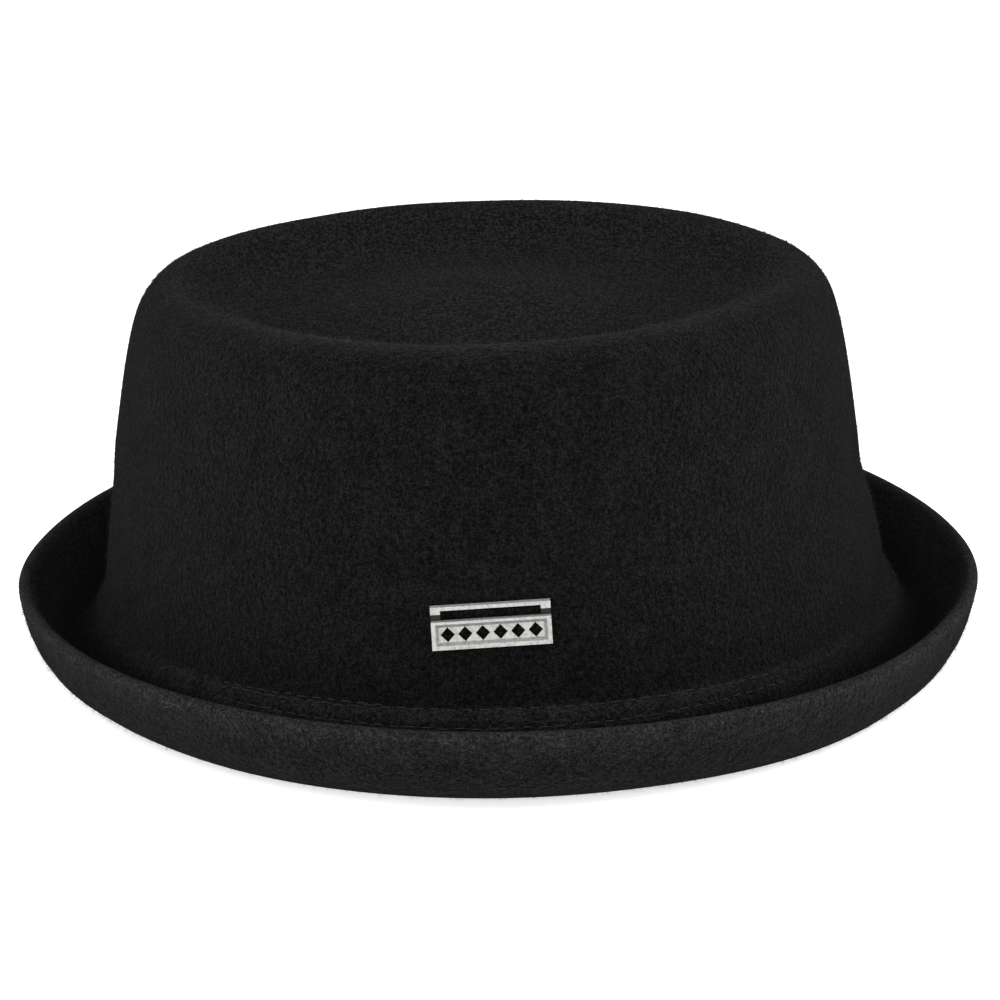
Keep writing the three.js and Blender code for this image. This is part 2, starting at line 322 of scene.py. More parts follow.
def feltDirections(place, angle):
    # unit directions of the upper face towards the edge and round the hat, and its outward normal
    inner, outer = np.maximum(place - slopeStep, slopeStep), np.minimum(place + slopeStep, spanCount)
    safe = np.maximum(place, slopeStep)
    edgeward = unit(feltPoints(outer, angle) - feltPoints(inner, angle))
    roundward = unit(feltPoints(safe, angle + slopeStep) - feltPoints(safe, angle - slopeStep))
    return edgeward, roundward, unit(np.cross(edgeward, roundward))


def feltGrid(places, angles):
    # points, outward normals and edgeward directions of the upper face on a grid
    place, angle = [grid.ravel() for grid in np.meshgrid(places, angles, indexing="ij")]
    edgeward, _, normal = feltDirections(place, angle)
    shape = (len(places), len(angles), 3)
    return [values.reshape(shape) for values in (feltPoints(place, angle), normal, edgeward)]


# Seams: where each row of stitches runs, in rows past the foot of the wall, at the front and at the ears
seams = {
    "upper": {"front": 1.19, "side": 1.72, "start": 0.0, "end": 2 * math.pi},
    "lower": {"front": 2.11, "side": 1.80, "start": 0.0, "end": 2 * math.pi},
    "overlap": {"front": 1.06, "side": 1.12, "start": math.radians(212), "end": math.radians(256)},
    "grooveDepth": 0.32,           # millimetres
    "grooveWidth": 0.75,
}
seamNames = ("upper", "lower", "overlap")


def seamPlace(name, angle):
    # place along the section of a seam: from its ear value to its front value by the square of the sine
    seam = seams[name]
    return footRow + seam["side"] + (seam["front"] - seam["side"]) * np.sin(angle) ** 2


def hillsAndHollows(place, angle):
    # slow unevenness of hand-blocked felt: the sum of the listed waves and of the bell curves of the swells
    total = sum(size * np.sin(turns * angle + pace * place + phase)
                for turns, pace, phase, size in felt["waves"])
    calm = np.clip(place / felt["calmMiddle"], 0, 1) * np.clip((spanCount - place) / felt["calmEdge"], 0, 1)
    swell = 0
    for row, degrees, rowSpread, degreeSpread, height in felt["swells"]:
        away = (np.degrees(angle) - degrees + 180) % 360 - 180
        swell = swell + height * np.exp(-((place - row) / rowSpread) ** 2 - (away / degreeSpread) ** 2)
    return felt["unevenness"] * total * calm + swell


def seamRelief(points, place, angle):
    # a groove under each seam: the bell curve of the distance along the section from the seam
    relief = np.zeros(place.shape)
    reach = np.gradient(points, axis=0)
    perPlace = np.linalg.norm(reach, axis=-1) / np.gradient(place, axis=0)
    for name in seamNames:
        seam = seams[name]
        distance = (place - seamPlace(name, angle)) * perPlace
        inside = (angle >= seam["start"]) & (angle <= seam["end"])
        relief -= inside * seams["grooveDepth"] * np.exp(-(distance / seams["grooveWidth"]) ** 2)
    return relief


# Where the badge sits: its centre's height, its tilt, how deep it is pulled in and how wide its seat is
seat = {
    "centreHeight": 29.7,          # millimetres
    "tilt": math.radians(3.2),
    "press": 0.7,
    "gap": 0.3,
    "halfWidth": 11.6,
    "halfHeight": 4.3,
    "softEdge": 2.2,
    "depth": 6.0,                  # felt further than this from the badge's back isn't moved
    "samples": 2001,               # places down the wall among which the badge's height is sought
}


def badgeAxes():
    # the badge's back centre and its across, up and outward directions, from the front wall at its height
    places = np.linspace(len(topRows) - 1.0, footRow, seat["samples"])
    angle = np.full(places.shape, -math.pi / 2)
    wall = feltPoints(places, angle)
    place = np.interp(-seat["centreHeight"], -wall[:, 2], places)
    points, normals, _ = feltGrid(np.array([place]), np.array([-math.pi / 2]))
    outward = normals[0, 0]
    across = unit(np.array([1.0, 0.0, 0.0]) - outward[0] * outward)
    across = across * math.cos(seat["tilt"]) + np.cross(outward, across) * math.sin(seat["tilt"])
    up = np.cross(outward, across)
    return points[0, 0] + outward * (seat["gap"] - seat["press"]), across, up, outward


def pressSeat(points):
    # felt pushed back behind the badge: down to a plane just under its back, fading out over a soft edge
    centre, across, up, outward = badgeAxes()
    offset = points - centre
    beyond = np.maximum(np.abs(offset @ across) - seat["halfWidth"], np.abs(offset @ up) - seat["halfHeight"])
    share = 1 - np.clip(beyond / seat["softEdge"], 0, 1)
    share = share * share * (3 - 2 * share)
    near = np.abs(offset @ outward) < seat["depth"]
    depth = np.minimum(0, -seat["gap"] - offset @ outward)
    return points + outward * (depth * share * near)[..., None]


# Painted light and shade on the felt, as a factor on its tone fitted to the picture: row of the section,
# factor.
# The lighter crest, band between the seams, brim edge and roll are painted highlights; the darker dish ring
# and the low factors inside the brim are painted shade that the soft lights don't give
upperPaintedLight = [
    (0.0, 1.05), (2.0, 1.08), (3.0, 0.80), (4.0, 0.85), (5.0, 1.0), (6.4, 1.05), (7.0, 1.35), (7.7, 1.35),
    (8.3, 1.15), (9.0, 1.0), (15.5, 1.0), (17.0, 1.1), (18.3, 1.0), (19.0, 0.45), (20.5, 0.30), (21.5, 0.45),
    (22.5, 1.1), (23.3, 2.0), (24.0, 2.6),
]
underPaintedLight = [(0.0, 1.0), (19.0, 1.0), (21.0, 1.12), (23.0, 1.2), (24.0, 2.1)]
# Painted highlight on the crest and the band between the seams, lighter at the front: an extra share that
# fades to the ears
frontPaintedHighlight = [
    (6.1, 0.0), (6.45, 1.5), (6.9, 1.3), (7.3, 0.5), (8.2, 0.0),
    (17.0, 0.0), (17.3, 0.9), (18.0, 0.9), (18.3, 0.0),
]
# How much the brushed nap of the top shows
nappedRows = [(0.0, 1.0), (6.0, 1.0), (7.5, 0.0)]

# Rows past the foot where rings lie close together for the seams, their number and the room beside them
seamZone = {"from": 0.6, "to": 2.6, "rings": 41, "room": 0.05}


def byRow(place, table):
    return np.interp(place, *zip(*table))


def ringPlaces():
    # places of the rings of the upper face: even ones, and close ones where the seams run
    close = np.linspace(footRow + seamZone["from"], footRow + seamZone["to"], seamZone["rings"])
    even = np.arange(1, spanCount * felt["ringsPerSpan"] + 1) / felt["ringsPerSpan"]
    even = even[(even < close[0] - seamZone["room"]) | (even > close[-1] + seamZone["room"])]
    return np.sort(np.concatenate([even, close]))


def feltRings(places, underPlaces, angles):
    # rings of points over the upper face, round the raw edge and back over the under face, none below the
    # table
    points, normals, edgeward = feltGrid(places, angles)
    place, angle = np.meshgrid(places, angles, indexing="ij")
    swell = hillsAndHollows(place, angle)
    relief = seamRelief(points, place, angle)
    upper = pressSeat(points + normals * (swell + relief)[..., None])
    underPoints, underNormals, _ = feltGrid(underPlaces, angles)
    underSwell = hillsAndHollows(*np.meshgrid(underPlaces, angles, indexing="ij"))
    under = underPoints + underNormals * (underSwell - felt["wall"])[..., None]
    half = felt["wall"] / 2
    turns = np.arange(1, felt["ringsRoundEdge"]) / felt["ringsRoundEdge"] * math.pi
    edge = [points[-1] + normals[-1] * (swell[-1][:, None] + half * (math.cos(turn) - 1))
            + edgeward[-1] * half * math.sin(turn) for turn in turns]
    rings = np.concatenate([upper, np.array(edge), under[::-1]])
    rings[..., 2] = np.maximum(rings[..., 2], 0.0)
    return rings


def feltTones(places, underPlaces, angles):
    # for each point the factor of painted light and shade on its tone and the share of brushed nap
    count = len(angles)
    place, angle = np.meshgrid(places, angles, indexing="ij")
    frontHighlightShare = np.clip(-np.sin(angle), 0, 1) ** 2
    upper = byRow(place, upperPaintedLight) * (1 + byRow(place, frontPaintedHighlight) * frontHighlightShare)
    edge = np.full((felt["ringsRoundEdge"] - 1) * count, upperPaintedLight[-1][1])
    under = np.repeat(byRow(underPlaces, underPaintedLight)[::-1], count)
    tones = np.concatenate([upper[0, :1], upper.ravel(), edge, under, [underPaintedLight[0][1]]])
    nap = np.zeros(len(tones))
    nap[0] = nappedRows[0][1]
    nap[1:1 + place.size] = byRow(place, nappedRows).ravel()
    return tones, nap


def makeFelt():
    places = ringPlaces()
    underPlaces = np.arange(1, spanCount * felt["ringsPerSpanUnder"] + 1) / felt["ringsPerSpanUnder"]
    count = felt["columns"]
    angles = np.arange(count) / count * 2 * math.pi
    rings = feltRings(places, underPlaces, angles)
    middle = feltPoints(np.array([0.0]), np.array([0.0]))[0]
    allPoints = np.vstack([middle, rings.reshape(-1, 3), middle - [0, 0, felt["wall"]]])
    ring, column = np.meshgrid(np.arange(len(rings) - 1), np.arange(count), indexing="ij")
    here, beside = 1 + ring * count + column, 1 + ring * count + (column + 1) % count
    quads = np.stack([here, here + count, beside + count, beside], -1).reshape(-1, 4)
    first, following = 1 + np.arange(count), 1 + (np.arange(count) + 1) % count
    tail = len(allPoints) - 1
    lastRing = (len(rings) - 1) * count
    triangles = np.concatenate([
        np.stack([np.zeros(count, int), first, following], -1),
        np.stack([np.full(count, tail), following + lastRing, first + lastRing], -1),
    ])
    piece = addMesh("feltBody", allPoints * mm, quads, triangles)
    # the first attribute is the factor of painted light and shade on the felt's tone
    for attribute, values in zip(("paintedLight", "nap"), feltTones(places, underPlaces, angles)):
        layer = piece.data.attributes.new(attribute, "FLOAT", "POINT")
        layer.data.foreach_set("value", values.astype(np.float32))
    return piece


feltLook = {
    # places on the ramp and their tones: pits, wool and fibres
    "tones": [
        (0.47, (0.0022, 0.0022, 0.0024)),
        (0.57, (0.0060, 0.0060, 0.0066)),
        (0.70, (0.0150, 0.0150, 0.0163)),
    ],
    # noises: cells per metre, detail, roughness
    "grain": (2000.0, 2.5, 0.6),   # about the size of the felt's pits
    "streak": (1500.0, 1.5, 0.5),  # the short fibres pressed into it
    "mat": (900.0, 2.0, 0.5),      # the clumps that the fibres form
    "cloud": (130.0, 3.0, 0.5),    # slow cloudiness of the dye
    # streaks: how the noise is squeezed and how it is turned
    "leaning": ((2.2, 2.2, 0.45), (0.5, 0.4, 0.0)),
    "lying": ((0.45, 2.2, 2.2), (0.2, 0.5, 0.6)),
    "brushed": ((1.0, 0.3, 1.0), (0.0, 0.0, 0.0)),
    "grainShare": 0.55,
    "streakShare": 0.45,
    "woolShare": 0.80,
    "matShare": 0.20,
    "cloudShare": 0.10,
    "noiseMiddle": 0.5,
    "roughness": 0.95,
    "sheen": 0.022,
    "sheenRoughness": 0.45,
    "sheenTint": (1.0, 0.98, 0.95, 1.0),
    "bumpHeight": 0.0009,          # metres
    "matHeight": 0.0012,
}


def streakNode(tree, coordinates, stretch, turn):
    # short streaks: a noise whose coordinates are turned and squeezed across the streak
    mapping = addNode(tree, "ShaderNodeMapping")
    setInput(mapping, "Rotation", turn)
    setInput(mapping, "Scale", stretch)
    tree.links.new(coordinates, mapping.inputs["Vector"])
    return noiseNode(tree, mapping.outputs["Vector"], *feltLook["streak"])


def makeFeltMaterial():
    # tone: a fine grain with the stronger of two slanted streak noises, the clumps of the mat, a slow cloud
    # and, on the top, streaks brushed from front to back, through the ramp and times the factor of painted
    # light and shade. The bump is grain, streaks and mat
    material, tree, shader = newMaterial("blackFelt")
    look = feltLook
    coordinates = objectPlace(tree)
    grain, cloud, mat = [noiseNode(tree, coordinates, *look[name]) for name in ("grain", "cloud", "mat")]
    leaning, lying, brushed = [streakNode(tree, coordinates, *look[name])
                               for name in ("leaning", "lying", "brushed")]
    streaks = mathNode(tree, "MAXIMUM", leaning, lying)
    wool = weightedSum(tree, grain, look["grainShare"], streaks, look["streakShare"])
    clumped = weightedSum(tree, wool, look["woolShare"], mat, look["matShare"])
    clouded = weightedSum(tree, clumped, 1.0, cloud, look["cloudShare"])
    nap = mathNode(tree, "MULTIPLY", mathNode(tree, "SUBTRACT", brushed, look["noiseMiddle"]),
                   attributeNode(tree, "nap"))
    # the felt's tone times its factor of painted light and shade
    paintedLightTone = addNode(tree, "ShaderNodeVectorMath", operation="SCALE")
    tones = rampNode(tree, mathNode(tree, "ADD", clouded, nap), look["tones"])
    tree.links.new(tones, paintedLightTone.inputs["Vector"])
    tree.links.new(attributeNode(tree, "paintedLight"), paintedLightTone.inputs["Scale"])
    tree.links.new(paintedLightTone.outputs["Vector"], shader.inputs["Base Color"])
    setInput(shader, "Roughness", look["roughness"])
    setInput(shader, "Specular IOR Level", 0.0)
    setInput(shader, "Sheen Weight", look["sheen"])
    setInput(shader, "Sheen Roughness", look["sheenRoughness"])
    setInput(shader, "Sheen Tint", look["sheenTint"])
    relief = weightedSum(tree, wool, 1.0, mat, look["matHeight"] / look["bumpHeight"])
    addBump(tree, shader, relief, look["bumpHeight"], 1.0)
    return material


feltMaterial = makeFeltMaterial()
feltPiece = makeFelt()
feltPiece.data.materials.append(feltMaterial)
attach(feltPiece, "root")
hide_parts("felt_body")
print("felt body made:", len(feltPiece.data.polygons), "faces")


# Stitches: short dark grey threads, each a small bowed tube that dips into the felt at both ends
stitches = {
    "seed": 11,
    "samples": 4001,               # places along a seam from which its length is taken
    "length": 2.3,                 # millimetres
    "space": 0.95,
    "thickness": 0.26,
    "ends": 0.72,                  # thickness at the ends, as a share of that in the middle
    "sides": 6,
    "steps": 6,
    "proud": 0.08,                 # how far a stitch's middle stands above the groove at the front and back
    "dip": 0.30,                   # how far its ends lie below
    "bowPower": 3.0,
    "inGroove": 0.7,               # share of the groove's depth that the thread lies down in
    "sunk": 0.33,                  # how much deeper the last ones towards the ears lie, below the felt
    "sunkFrom": 0.56,              # where that starts and ends, as the cosine of the angle from the ear
    "sunkTo": 0.67,                # past this none is built
    "jitter": 0.10,                # how much the lengths vary, as a share
    "wander": 0.08,                # how far the threads stray to the side
    "noise": (5200.0, 2.0, 0.5),   # cells per metre, detail, roughness
    "tones": [(0.3, (0.012, 0.012, 0.012)), (0.7, (0.042, 0.042, 0.041))],
    "roughness": 0.7,
    "specular": 0.1,
}
uprightPath = 0.9        # a path that rises more steeply takes the x axis as its helper, not the z axis


def tubesAlong(centres, radii, sides):
    # closed tubes: centres (tube, step, 3) and radii (tube, step), with rings of points across each path
    along = unit(np.gradient(centres, axis=1))
    helper = np.where(np.abs(along[..., 2:3]) > uprightPath, [1.0, 0.0, 0.0], [0.0, 0.0, 1.0])
    first = unit(np.cross(along, helper))
    second = np.cross(along, first)
    turn = np.arange(sides) / sides * 2 * math.pi
    ring = first[..., None, :] * np.cos(turn)[:, None] + second[..., None, :] * np.sin(turn)[:, None]
    points = centres[..., None, :] + ring * radii[..., None, None]
    tubeCount, stepCount = centres.shape[:2]
    tube, step, side = np.indices((tubeCount, stepCount - 1, sides))
    corner = (tube * stepCount + step) * sides + side
    beside = (tube * stepCount + step) * sides + (side + 1) % sides
    quads = np.stack([corner, beside, beside + sides, corner + sides], -1).reshape(-1, 4)
    fan = np.arange(1, sides - 1)
    tubes = np.arange(tubeCount)[:, None] * stepCount * sides
    endings = tubes + (stepCount - 1) * sides
    startCaps = np.stack([tubes + 0 * fan, tubes + fan + 1, tubes + fan], -1)
    endCaps = np.stack([endings + 0 * fan, endings + fan, endings + fan + 1], -1)
    return points.reshape(-1, 3), quads, np.concatenate([startCaps.reshape(-1, 3), endCaps.reshape(-1, 3)])


def stitchPaths(name, generator):
    # centre lines and radii of one seam's stitches: evenly spaced along it, bowed up in the middle, dipping
    # into the felt at both ends and sinking towards the ears
    fine = np.linspace(seams[name]["start"], seams[name]["end"], stitches["samples"])
    path = feltPoints(seamPlace(name, fine), fine)
    travelled = np.concatenate([[0], np.cumsum(np.linalg.norm(np.diff(path, axis=0), axis=1))])
    count = int(travelled[-1] / (stitches["length"] + stitches["space"]))
    middles = (np.arange(count) + 0.5) * travelled[-1] / count
    across = np.linspace(-0.5, 0.5, stitches["steps"])
    size = 1 + stitches["jitter"] * generator.standard_normal(count)
    distance = middles[:, None] + across * stitches["length"] * size[:, None]
    angle = np.interp(distance, travelled, fine)
    flat = angle.ravel()
    place = seamPlace(name, flat)
    edgeward, _, normal = feltDirections(place, flat)
    bow = 1 - (2 * np.abs(across)) ** stitches["bowPower"]
    depth = stitches["dip"] * (1 - bow) + seams["grooveDepth"] * stitches["inGroove"]
    height = stitches["proud"] * bow - depth
    fromEar = np.abs(np.cos(angle))
    sinking = (fromEar - stitches["sunkFrom"]) / (stitches["sunkTo"] - stitches["sunkFrom"])
    height = height - stitches["sunk"] * np.clip(sinking, 0, 1)
    wander = stitches["wander"] * generator.standard_normal(count)
    offset = normal * height.ravel()[:, None] + edgeward * np.repeat(wander, len(across))[:, None]
    swell = hillsAndHollows(place, flat)[:, None] * normal
    shows = fromEar.min(axis=1) < stitches["sunkTo"]
    centres = (feltPoints(place, flat) + offset + swell).reshape(count, -1, 3)[shows]
    radii = stitches["thickness"] / 2 * (stitches["ends"] + (1 - stitches["ends"]) * bow)
    return centres, np.tile(radii, (len(centres), 1))


def makeStitches():
    generator = np.random.default_rng(stitches["seed"])
    centres, radii = zip(*[stitchPaths(name, generator) for name in seamNames])
    points, quads, caps = tubesAlong(np.concatenate(centres), np.concatenate(radii), stitches["sides"])
    return addMesh("seamStitches", points * mm, quads, caps)


def makeThreadMaterial():
    # dark grey cotton thread, a little lighter than the felt: its tone is a fine noise through a ramp
    look = stitches
    material, shader = tonedMaterial("darkThread", look["noise"], look["tones"], look["roughness"])
    setInput(shader, "Specular IOR Level", look["specular"])
    return material


stitchPiece = makeStitches()
stitchPiece.data.materials.append(makeThreadMaterial())
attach(stitchPiece, "root")
print("stitches made:", len(stitchPiece.data.polygons), "faces")


# Fuzz: short bent wool fibres standing off the felt, as thin three-sided spikes
fuzz = {
    "thickness": 0.055,            # millimetres, at the root
    "topThickness": 0.10,
    "waist": 0.8,                  # thickness at the middle of a fibre, as a share of that at its root
    "shortest": 0.35,
    "longest": 1.5,
    "lengthPower": 2.2,            # makes short fibres the more frequent
    "lay": 1.3,                    # how much fibres lie over, against standing up
    "bend": 0.55,                  # how much the outer half turns aside
    "rootDepth": 0.05,
    "tipHeight": 0.03,             # the least height of a tip above the felt
    "tableHeight": 0.02,           # and of every point above the table
    "margin": 0.02,                # rows left free at both ends of the section
    "rows": 160,                   # cells of the grid that the roots are spread over
    "columns": 240,
    "noise": (900.0, 1.0, 0.5),    # cells per metre, detail, roughness
    "tones": [(0.35, (0.003, 0.003, 0.003)), (0.7, (0.016, 0.016, 0.0157))],
    "roughness": 0.85,
}


def fuzzRoots(firstPlace, lastPlace, count, generator):
    # places and angles spread evenly over part of a face: picked by the area that each grid cell covers
    places = np.linspace(firstPlace, lastPlace, fuzz["rows"])
    angles = np.linspace(0, 2 * math.pi, fuzz["columns"] + 1)
    points, _, _ = feltGrid(places, angles)
    down, along = np.diff(points, axis=0)[:, :-1], np.diff(points, axis=1)[:-1]
    area = np.linalg.norm(np.cross(down, along), axis=-1).ravel()
    cell = generator.choice(len(area), size=count, p=area / area.sum())
    place = places[cell // fuzz["columns"]] + generator.random(count) * (places[1] - places[0])
    angle = angles[cell % fuzz["columns"]] + generator.random(count) * (angles[1] - angles[0])
    return np.clip(place, fuzz["margin"], spanCount - fuzz["margin"]), angle


def makeFuzz(name, firstPlace, lastPlace, count, thickness, face, seed):
    # fibres on part of one face, which is 1 on the upper face and -1 on the under face
    generator = np.random.default_rng(seed)
    place, angle = fuzzRoots(firstPlace, lastPlace, count, generator)
    edgeward, roundward, upward = feltDirections(place, angle)
    normal = upward * face
    spin = generator.random(count) * 2 * math.pi
    lay = fuzz["lay"] * np.abs(generator.standard_normal(count))
    sideways = edgeward * np.cos(spin)[:, None] + roundward * np.sin(spin)[:, None]
    shares = generator.random(count) ** fuzz["lengthPower"]
    half = (fuzz["shortest"] + (fuzz["longest"] - fuzz["shortest"]) * shares)[:, None] / 2
    rise = unit(normal + sideways * lay[:, None])
    bend = generator.standard_normal((count, 3))
    sunk = hillsAndHollows(place, angle) - felt["wall"] * (1 - face) / 2 - fuzz["rootDepth"] * face
    root = feltPoints(place, angle) + upward * sunk[:, None]
    middle = root + rise * half
    tip = middle + unit(rise + fuzz["bend"] * bend) * half
    lift = np.minimum(0, ((tip - root) * normal).sum(-1) - fuzz["tipHeight"])
    tip -= normal * lift[:, None]
    first = unit(np.cross(rise, bend))
    second = np.cross(rise, first)
    turn = np.arange(3) / 3 * 2 * math.pi
    ring = (first[:, None] * np.cos(turn)[:, None] + second[:, None] * np.sin(turn)[:, None]) * thickness / 2
    corners = [root[:, None] + ring, middle[:, None] + ring * fuzz["waist"], tip[:, None]]
    allPoints = np.concatenate(corners, axis=1).reshape(-1, 3)
    allPoints[:, 2] = np.maximum(allPoints[:, 2], fuzz["tableHeight"])
    # the seven corners of a fibre: 0 to 2 round its root, 3 to 5 round its middle and 6 at its tip
    fibre = np.arange(count)[:, None] * 7
    quads = np.stack([fibre + [0, 1, 2], fibre + [1, 2, 0], fibre + [4, 5, 3], fibre + [3, 4, 5]], -1)
    tips = np.stack([fibre + [3, 4, 5], fibre + [4, 5, 3], fibre + [6, 6, 6]], -1)
    caps = np.stack([fibre[:, 0] + 2, fibre[:, 0] + 1, fibre[:, 0]], -1)
    return addMesh(name, allPoints * mm, quads.reshape(-1, 4), np.concatenate([tips.reshape(-1, 3), caps]))


def makeFuzzMaterial():
    # dark wool whose tone varies from fibre to fibre: a broad noise through a ramp
    material, _ = tonedMaterial("woolFibre", fuzz["noise"], fuzz["tones"], fuzz["roughness"])
    return material


fuzzMaterial = makeFuzzMaterial()
fuzzZones = [
    # name, first and last place along the section, fibres of ten triangles each, thickness, face, seed
    ("fuzzTop", 0.05, len(topRows) + 1.5, 19000, fuzz["topThickness"], 1, 21),
    ("fuzzWall", len(topRows) + 1.5, footRow + 1.0, 19500, fuzz["thickness"], 1, 22),
    ("fuzzBrim", footRow + 1.0, spanCount, 9000, fuzz["thickness"], 1, 23),
    ("fuzzRoll", footRow + 4.6, spanCount, 11000, fuzz["thickness"], -1, 24),
    ("fuzzEdge", spanCount - 0.5, spanCount, 9000, fuzz["thickness"], 1, 25),
]
for name, firstPlace, lastPlace, count, thickness, face, seed in fuzzZones:
    fibres = makeFuzz(name, firstPlace, lastPlace, count, thickness, face, seed)
    fibres.data.materials.append(fuzzMaterial)
    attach(fibres, "root")
    print(name, "made:", len(fibres.data.polygons), "faces")


# Lint: a few light hairs and specks caught in the felt, each laid under given places of the image
lint = {
    "hairs": [
        # places in the image that the hair passes over, in pixels
        [(184, 688), (187, 683), (191, 679), (197, 676)],
        [(159, 701), (166, 699), (172, 700), (177, 704), (181, 710)],
        [(440, 742), (443, 746), (441, 739), (446, 738), (449, 743), (455, 747)],
        [(448, 738), (450, 744), (453, 741)],
        [(163, 706), (168, 707), (174, 705)],
        [(160, 671), (166, 668), (172, 667)],
        [(470, 743), (474, 747), (476, 744)],
        [(837, 599), (840, 602), (842, 603)],
        [(814, 264), (816, 266)],
    ],
    "thickness": 0.055,            # millimetres, in the middle of a hair
    "ends": 0.4,                   # thickness at the ends, as a share of that, before the taper
    "taper": 0.15,                 # radians of the sine along a hair that are cut off at each end
    "sides": 5,
    "steps": 14,
    "lift": 0.15,
    "reach": 2.5,                  # the furthest that one place of a hair lies from the one before
    "firstPlace": 0.5,             # where the searched grid starts, its rows and its columns
    "rows": 420,
    "columns": 1440,
    "nearby": 3.0,                 # pixels within which a point can be taken
    "depthCharge": 0.5,            # pixels charged for each millimetre further away
    "outside": 1000.0,             # pixels charged for a point that is out of bounds
    "noise": (1500.0, 1.0, 0.5),   # cells per metre, detail, roughness
    "tones": [(0.35, (0.04, 0.04, 0.04)), (0.65, (0.14, 0.14, 0.137))],
    "roughness": 0.7,
}


def surfaceUnder(pixels):
    # points of the upper and under face that the camera sees at given pixels: of the fine grid's points that
    # face the camera, the one nearest in the image, with a small charge for lying further away. All but the
    # first place of a hair are sought within reach of the one before, so that it lies along one surface
    places = np.linspace(lint["firstPlace"], spanCount, lint["rows"])
    angles = np.linspace(0, 2 * math.pi, lint["columns"] + 1)[:-1]
    points, normals, _ = feltGrid(places, angles)
    both = np.concatenate([points.reshape(-1, 3), (points - normals * felt["wall"]).reshape(-1, 3)])
    facing = np.concatenate([normals.reshape(-1, 3), -normals.reshape(-1, 3)])
    toEye = eyePlace / mm - both
    seen = (facing * toEye).sum(-1) > 0
    both, facing, depth = both[seen], facing[seen], np.linalg.norm(toEye[seen], axis=-1)
    further = (depth - depth.min()) * lint["depthCharge"]
    shown = toPixels(both * mm)
    found = []
    for pixel in np.asarray(pixels, float):
        miss = np.linalg.norm(shown - pixel, axis=-1)
        charge = miss + np.where(miss < lint["nearby"], further, lint["outside"])
        if found:
            step = np.linalg.norm(both - both[found[-1]], axis=-1)
            charge = np.where(step < lint["reach"], miss, lint["outside"] + step)
        found.append(np.argmin(charge))
    return both[found], facing[found]


def makeLint():
    # hairs through their places, thickest in the middle
    centres = []
    for hair in lint["hairs"]:
        points, normals = surfaceUnder(hair)
        knots = points + unit(normals) * lint["lift"]
        fine = np.linspace(0, len(knots) - 1, lint["steps"])
        straight = [np.interp(fine, np.arange(len(knots)), column) for column in knots.T]
        centres.append(throughRows(knots, fine) if len(knots) > 2 else np.stack(straight, -1))
    wave = np.sin(np.linspace(lint["taper"], math.pi - lint["taper"], lint["steps"]))
    radii = np.tile(lint["thickness"] / 2 * (lint["ends"] + (1 - lint["ends"]) * wave), (len(centres), 1))
    points, quads, caps = tubesAlong(np.array(centres), radii, lint["sides"])
    return addMesh("lintHairs", points * mm, quads, caps)


def makeLintMaterial():
    # pale dust and hair, whose tone varies along the hair: a noise through a ramp
    material, _ = tonedMaterial("paleLint", lint["noise"], lint["tones"], lint["roughness"])
    return material


lintPiece = makeLint()
lintPiece.data.materials.append(makeLintMaterial())
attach(lintPiece, "root")
print("lint made:", len(lintPiece.data.polygons), "faces")


# Badge: the solid's own shape with softened edges, in satin metal, and the bar behind it
badge = {
    "edgeRadius": 0.00012,         # metres
    "edgeSegments": 2,
    "edgeAngle": 30.0,             # degrees, the least at which an edge is softened
    "weld": 0.000001,
    "noise": (1600.0, 3.0, 0.6),   # cells per metre, detail, roughness
    "tones": [(0.38, (0.29, 0.287, 0.280)), (0.58, (0.43, 0.426, 0.415))],
    "metallic": 0.45,              # under 1 so that the sloped edges aren't too dark beside the flat faces
    "roughness": 0.55,
    "swing": 0.16,                 # how much the roughness varies
    "scratches": (3000.0, 2.0, 0.6),
    "bumpHeight": 0.00004,
    "bumpStrength": 0.15,
}
# Painted shade: the recessed legs under the top bar get a dark metal for the shade that falls in them
legs = {
    "bottom": 1.5,                 # millimetres above the badge's middle, the legs that carry the top bar
    "top": 2.5,
    "reach": 9.7,                  # and how far out they start
    "tone": (0.085, 0.085, 0.088),
    "noise": (1600.0, 2.0, 0.5),
    "roughness": 0.5,
    "swing": 0.2,
}
backing = {
    "tone": (0.42, 0.42, 0.43),
    "noise": (500.0, 3.0, 0.6),
    "roughness": 0.4,
    "swing": 0.3,
}


def softenedCopy(node, name, edgeRadius):
    # a merged copy of the solid's mesh with a narrow rounded bevel along its sharp edges
    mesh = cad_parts[node].data.copy()
    mesh.name = name
    mesh.materials.clear()
    piece = bpy.data.objects.new(name, mesh)
    bpy.context.scene.collection.objects.link(piece)
    shape = bmesh.new()
    shape.from_mesh(mesh)
    bmesh.ops.remove_doubles(shape, verts=shape.verts, dist=badge["weld"])
    shape.to_mesh(mesh)
    shape.free()
    bevel = piece.modifiers.new("softEdges", "BEVEL")
    bevel.width = edgeRadius
    bevel.segments = badge["edgeSegments"]
    bevel.limit_method = "ANGLE"
    bevel.angle_limit = math.radians(badge["edgeAngle"])
    bevel.harden_normals = False
    for polygon in mesh.polygons:
        polygon.use_smooth = False
    return piece


def makeBadgeMaterial():
    # satin metal: a cast grain in its tone and roughness, and fine scratches as bump
    material, tree, shader = newMaterial("brightMetal")
    coordinates = objectPlace(tree)
    cloud = noiseNode(tree, coordinates, *badge["noise"])
    tree.links.new(rampNode(tree, cloud, badge["tones"]), shader.inputs["Base Color"])
    setInput(shader, "Metallic", badge["metallic"])
    addRoughness(tree, shader, cloud, badge["roughness"], badge["swing"])
    scratches = noiseNode(tree, coordinates, *badge["scratches"])
    addBump(tree, shader, scratches, badge["bumpHeight"], badge["bumpStrength"])
    return material


def cloudyMetal(name, look):
    # bare metal of one tone with a cloudy roughness
    material, tree, shader = newMaterial(name)
    setInput(shader, "Base Color", (*look["tone"], 1.0))
    setInput(shader, "Metallic", 1.0)
    cloud = noiseNode(tree, objectPlace(tree), *look["noise"])
    addRoughness(tree, shader, cloud, look["roughness"], look["swing"])
    return material


